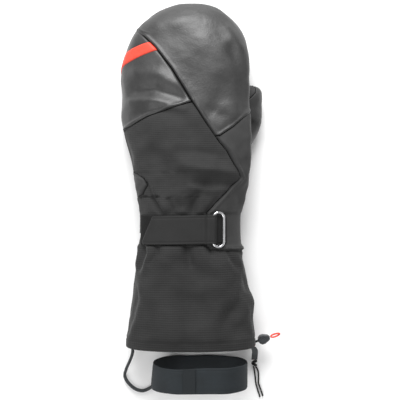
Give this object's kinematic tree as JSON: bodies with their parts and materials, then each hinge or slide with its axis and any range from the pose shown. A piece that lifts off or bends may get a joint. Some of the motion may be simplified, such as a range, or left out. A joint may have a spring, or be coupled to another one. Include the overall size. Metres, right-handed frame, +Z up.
{
  "type": "ski mitten",
  "caption": "Padded left-hand ski mitten with leather and fabric shell, gauntlet cuff, wrist strap through a metal loop, hem drawcord lock and wrist leash, lying palm down.",
  "frame": {"origin": "point of the palm on the surface the mitten lies on, where the wrist meets the hand", "axes": "+Y towards the fingertips, +X towards the thumb side, +Z up out of the back of the hand"},
  "size_m": [0.1614, 0.4022, 0.0615],
  "materials": {
    "leather": "black goatskin-look leather, fine grain, satin",
    "fabric": "dark grey woven softshell, matt",
    "side": "smooth dark grey stretch fabric",
    "palm": "black pigmented palm leather",
    "cuff": "dark grey woven nylon",
    "accent": "red coated leather strip",
    "membrane": "thin waterproof membrane",
    "wadding": "polyester wadding",
    "lining": "brushed fleece",
    "label": "blank satin label",
    "hook": "hook and loop tape",
    "webbing": "black woven tape",
    "metal": "polished nickel-plated wire",
    "cord": "black elastic cord",
    "plastic": "dark grey moulded plastic",
    "spring": "spring steel",
    "red_plastic": "red soft moulded plastic",
    "band": "dark blue-grey elastic webbing"
  },
  "bodies": {
    "mitten": {"leather_finger_panel": "leather", "leather_knuckle_panel": "leather", "leather_corner_panel": "leather", "accent_strip": "accent", "back_fabric_panel": "fabric", "thumb_side_panel": "side", "pinky_side_gusset": "side", "palm_panel": "palm", "palm_reinforcement": "palm", "thumb_back_panel": "leather", "thumb_palm_panel": "palm", "thumb_fourchette": "side", "cuff_back_panel": "cuff", "cuff_palm_panel": "cuff", "hem_channel": "cuff", "hem_drawcord": "cord", "wrist_elastic": "webbing", "waterproof_insert": "membrane", "insulation_back": "wadding", "insulation_palm": "wadding", "thumb_insulation": "wadding", "hand_lining": "lining", "thumb_lining": "lining", "care_label": "label", "loop_patch": "hook", "anchor_webbing": "webbing", "strap_loop": "metal", "cord_eyelet": "plastic", "webbing_tab": "webbing", "cord_knot": "cord", "drawcord_tail_a": "cord", "drawcord_tail_b": "cord"},
    "strap_tail": {"wrist_strap": "fabric", "strap_hook_tape": "hook"},
    "cord_lock": {"pull_cord": "cord", "cord_lock_body": "plastic", "cord_lock_spring": "spring"},
    "lock_button": {"cord_lock_button": "plastic"},
    "pull_loop": {"pull_loop": "red_plastic"},
    "leash": {"leash_tape": "webbing", "leash_band": "band", "leash_band_overlap": "band"}
  },
  "joints": [
    {"name": "strap_peel", "type": "hinge", "parent": "mitten", "child": "strap_tail", "pos_m": [0.0172, -0.029, 0.0482], "axis": [0, 1, 0], "range_deg": [0, 90]},
    {"name": "lock_swing", "type": "hinge", "parent": "mitten", "child": "cord_lock", "pos_m": [0.0551, -0.1435, 0.022], "axis": [0, 0, 1], "range_deg": [0, 30]},
    {"name": "button_press", "type": "slide", "parent": "cord_lock", "child": "lock_button", "axis": [0, 0, -1], "range_m": [0, 0.0014], "stiffness_N_per_m": 300, "deforming": ["cord_lock_spring"]},
    {"name": "loop_swing", "type": "hinge", "parent": "cord_lock", "child": "pull_loop", "pos_m": [18.31539, 5.78963, 0.022], "axis": [0, 0, 1], "range_deg": [-40, 40]},
    {"name": "leash_swing", "type": "hinge", "parent": "mitten", "child": "leash", "pos_m": [-0.0684, -0.147, 0.026], "axis": [0, 0, 1], "range_deg": [-80, 0]}
  ]
}
